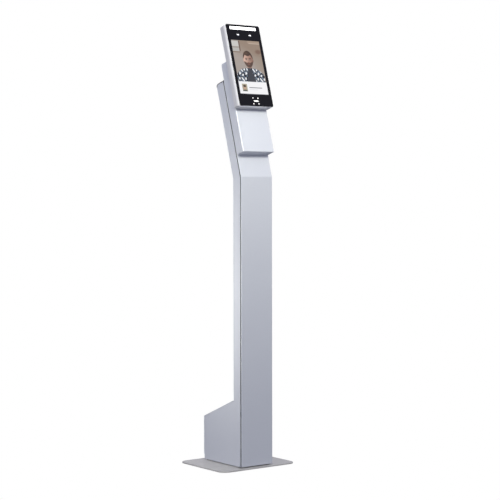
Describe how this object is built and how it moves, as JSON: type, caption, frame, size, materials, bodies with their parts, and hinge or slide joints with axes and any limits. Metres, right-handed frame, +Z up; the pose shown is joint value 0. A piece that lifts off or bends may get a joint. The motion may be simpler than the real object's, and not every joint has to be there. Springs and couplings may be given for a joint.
{
  "type": "touchscreen kiosk",
  "caption": "Slim floor-standing check-in kiosk: leaning portrait touchscreen terminal with cameras on a folded steel column with a base plate.",
  "frame": {"origin": "on the floor under the centre of the base plate", "axes": "+Z up along the column, the longest extent; the screen faces -Y, the plate's short side; +X to the viewer's right when facing the screen"},
  "size_m": [0.29, 0.243, 1.4034],
  "materials": {
    "silver_powder_coat": "satin metallic powder coat",
    "brushed_stainless": "brushed",
    "zinc_plated_steel": "bright zinc plate",
    "chrome": "polished",
    "brass": "turned",
    "pressed_aluminium": "pressed",
    "black_plastic": "moulded, fine grain",
    "red_plastic": "moulded",
    "black_rubber": "matte",
    "black_cable": "extruded sheath",
    "earth_cable": "extruded sheath, green and yellow",
    "grey_cable": "extruded sheath",
    "silver_housing": "satin paint",
    "black_glass": "polished cover glass",
    "screen": "lit display",
    "opal_diffuser": "opal, lit",
    "circuit_board": "solder mask",
    "lens": "lens barrel with coated glass"
  },
  "bodies": {
    "stand": {"left_side_panel": "silver_powder_coat", "right_side_panel": "silver_powder_coat", "back_panel": "silver_powder_coat", "front_cover": "silver_powder_coat", "carrier_plate": "silver_powder_coat", "carrier_cover": "silver_powder_coat", "base_plate": "brushed_stainless", "foot_bracket": "zinc_plated_steel", "foot_bolt_1": "zinc_plated_steel", "foot_bolt_2": "zinc_plated_steel", "foot_bolt_3": "zinc_plated_steel", "foot_bolt_4": "zinc_plated_steel", "tie_plate_lower": "zinc_plated_steel", "tie_plate_upper": "zinc_plated_steel", "hinge_leaf_fixed": "zinc_plated_steel", "hinge_pin": "zinc_plated_steel", "lock_post": "zinc_plated_steel", "service_plate": "zinc_plated_steel", "carrier_screw_1": "zinc_plated_steel", "carrier_screw_2": "zinc_plated_steel", "wall_bracket": "zinc_plated_steel", "bracket_screw_1": "zinc_plated_steel", "bracket_screw_2": "zinc_plated_steel", "camera_bracket": "zinc_plated_steel", "earth_stud": "brass", "psu_case": "pressed_aluminium", "neck_cap": "black_plastic", "psu_terminal_block": "black_plastic", "mains_inlet": "black_plastic", "network_coupler": "black_plastic", "speaker": "black_plastic", "foot_pad_1": "black_rubber", "foot_pad_2": "black_rubber", "foot_pad_3": "black_rubber", "foot_pad_4": "black_rubber", "neck_grommet": "black_rubber", "terminal_grommet": "black_rubber", "mains_lead": "black_cable", "dc_cable": "black_cable", "earth_lead": "earth_cable", "network_cable": "grey_cable", "terminal_housing": "silver_housing", "front_glass": "black_glass", "display_panel": "screen", "led_diffuser": "opal_diffuser", "led_board": "circuit_board", "main_board": "circuit_board", "reader_antenna": "circuit_board", "camera_left": "lens", "camera_right": "lens"},
    "lid": {"service_lid": "silver_powder_coat", "hinge_leaf_lid": "zinc_plated_steel", "lock_body": "chrome", "lock_nut": "brass"},
    "lock": {"lock_plug": "chrome", "lock_cam": "zinc_plated_steel", "lock_cam_screw": "zinc_plated_steel"},
    "rocker": {"rocker_switch": "red_plastic"},
    "reset": {"reset_button": "black_plastic"}
  },
  "joints": [
    {"name": "lid_hinge", "type": "hinge", "parent": "stand", "child": "lid", "pos_m": [0, -0.062, 0.216], "axis": [1, 0, 0], "range_deg": [0, 100]},
    {"name": "lock_turn", "type": "hinge", "parent": "lid", "child": "lock", "pos_m": [0, 0.1, 0.06], "axis": [0, -1, 0], "range_deg": [0, 90]},
    {"name": "rocker_tilt", "type": "hinge", "parent": "stand", "child": "rocker", "pos_m": [-0.0075, 0.0043, 0.036], "axis": [1, 0, 0], "range_deg": [-16, 0]},
    {"name": "reset_press", "type": "slide", "parent": "stand", "child": "reset", "axis": [0, 0.284, 0.9588], "range_m": [0, 0.0008], "stiffness_N_per_m": 400}
  ]
}
